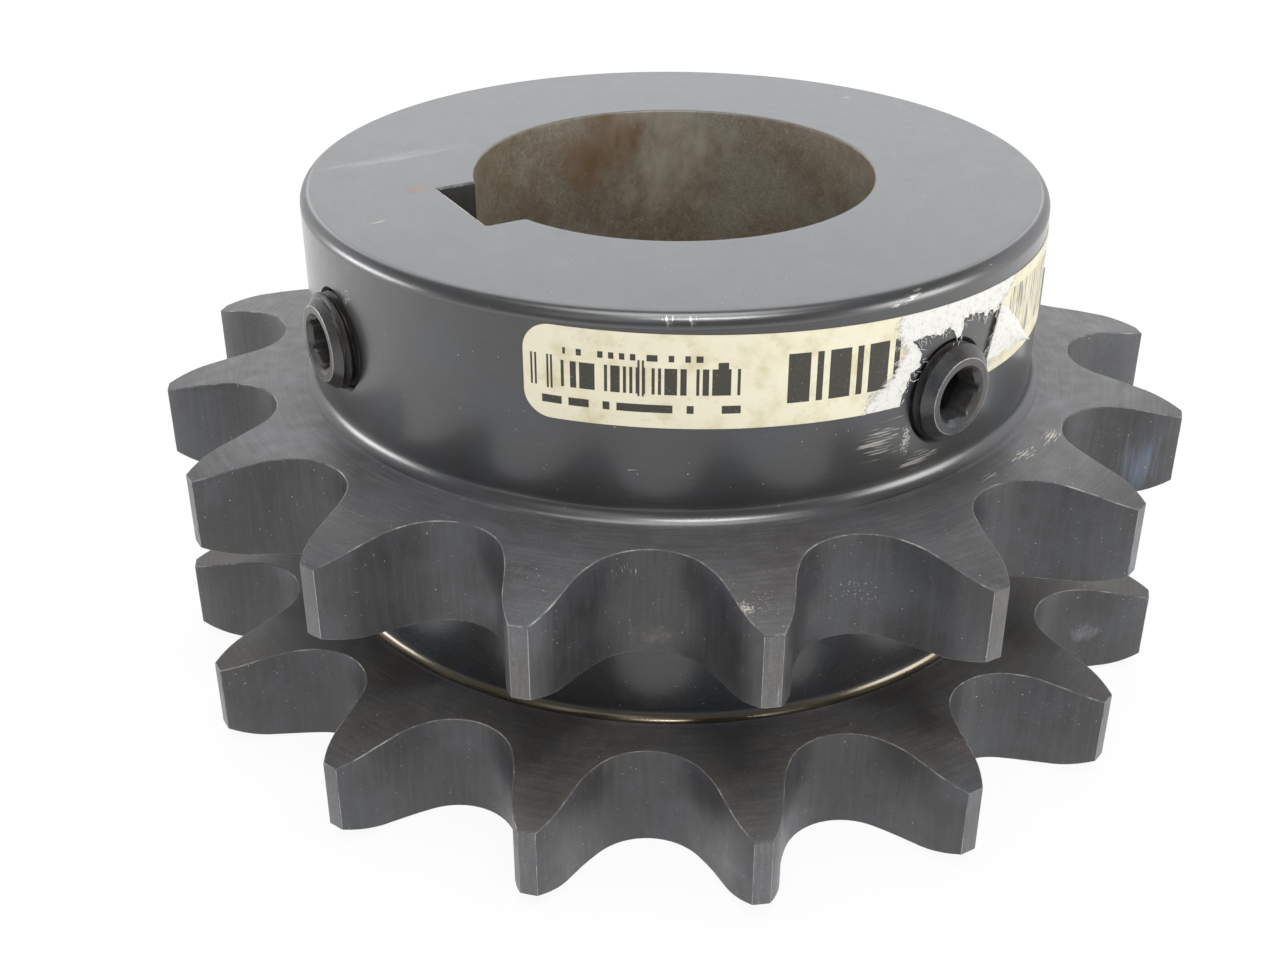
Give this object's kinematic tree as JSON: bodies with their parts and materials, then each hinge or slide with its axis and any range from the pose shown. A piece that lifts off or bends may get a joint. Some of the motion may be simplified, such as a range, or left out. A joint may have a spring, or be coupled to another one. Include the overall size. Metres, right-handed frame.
{
  "type": "chain sprocket",
  "caption": "Steel sprocket for double-strand roller chain, with a hub on one side, a keyed bore, set screws and a worn paper label round the hub.",
  "frame": {"origin": "on the bore axis, at the outer face of the lower tooth plate, which the part rests on", "axes": "+Z along the bore axis, towards the hub's end face; the keyway is centred on -X"},
  "size_m": [0.1434, 0.1434, 0.0698],
  "materials": {
    "black_oxide_steel": "black oxide over turned and hobbed carbon steel, slightly oily",
    "screw_steel": "black oxide alloy steel",
    "label_paper": "aged cream label paper, torn and stained"
  },
  "bodies": {
    "sprocket": {"sprocket": "black_oxide_steel", "label": "label_paper"},
    "key_set_screw": {"key_set_screw": "screw_steel"},
    "shaft_set_screw": {"shaft_set_screw": "screw_steel"}
  },
  "joints": [
    {"name": "key_screw_travel", "type": "slide", "parent": "sprocket", "child": "key_set_screw", "axis": [-0.999, -0.0436, 0], "range_m": [-0.0027, 0.0078]},
    {"name": "shaft_screw_travel", "type": "slide", "parent": "sprocket", "child": "shaft_set_screw", "axis": [0.1908, -0.9816, 0], "range_m": [-0.0064, 0.0078]}
  ]
}
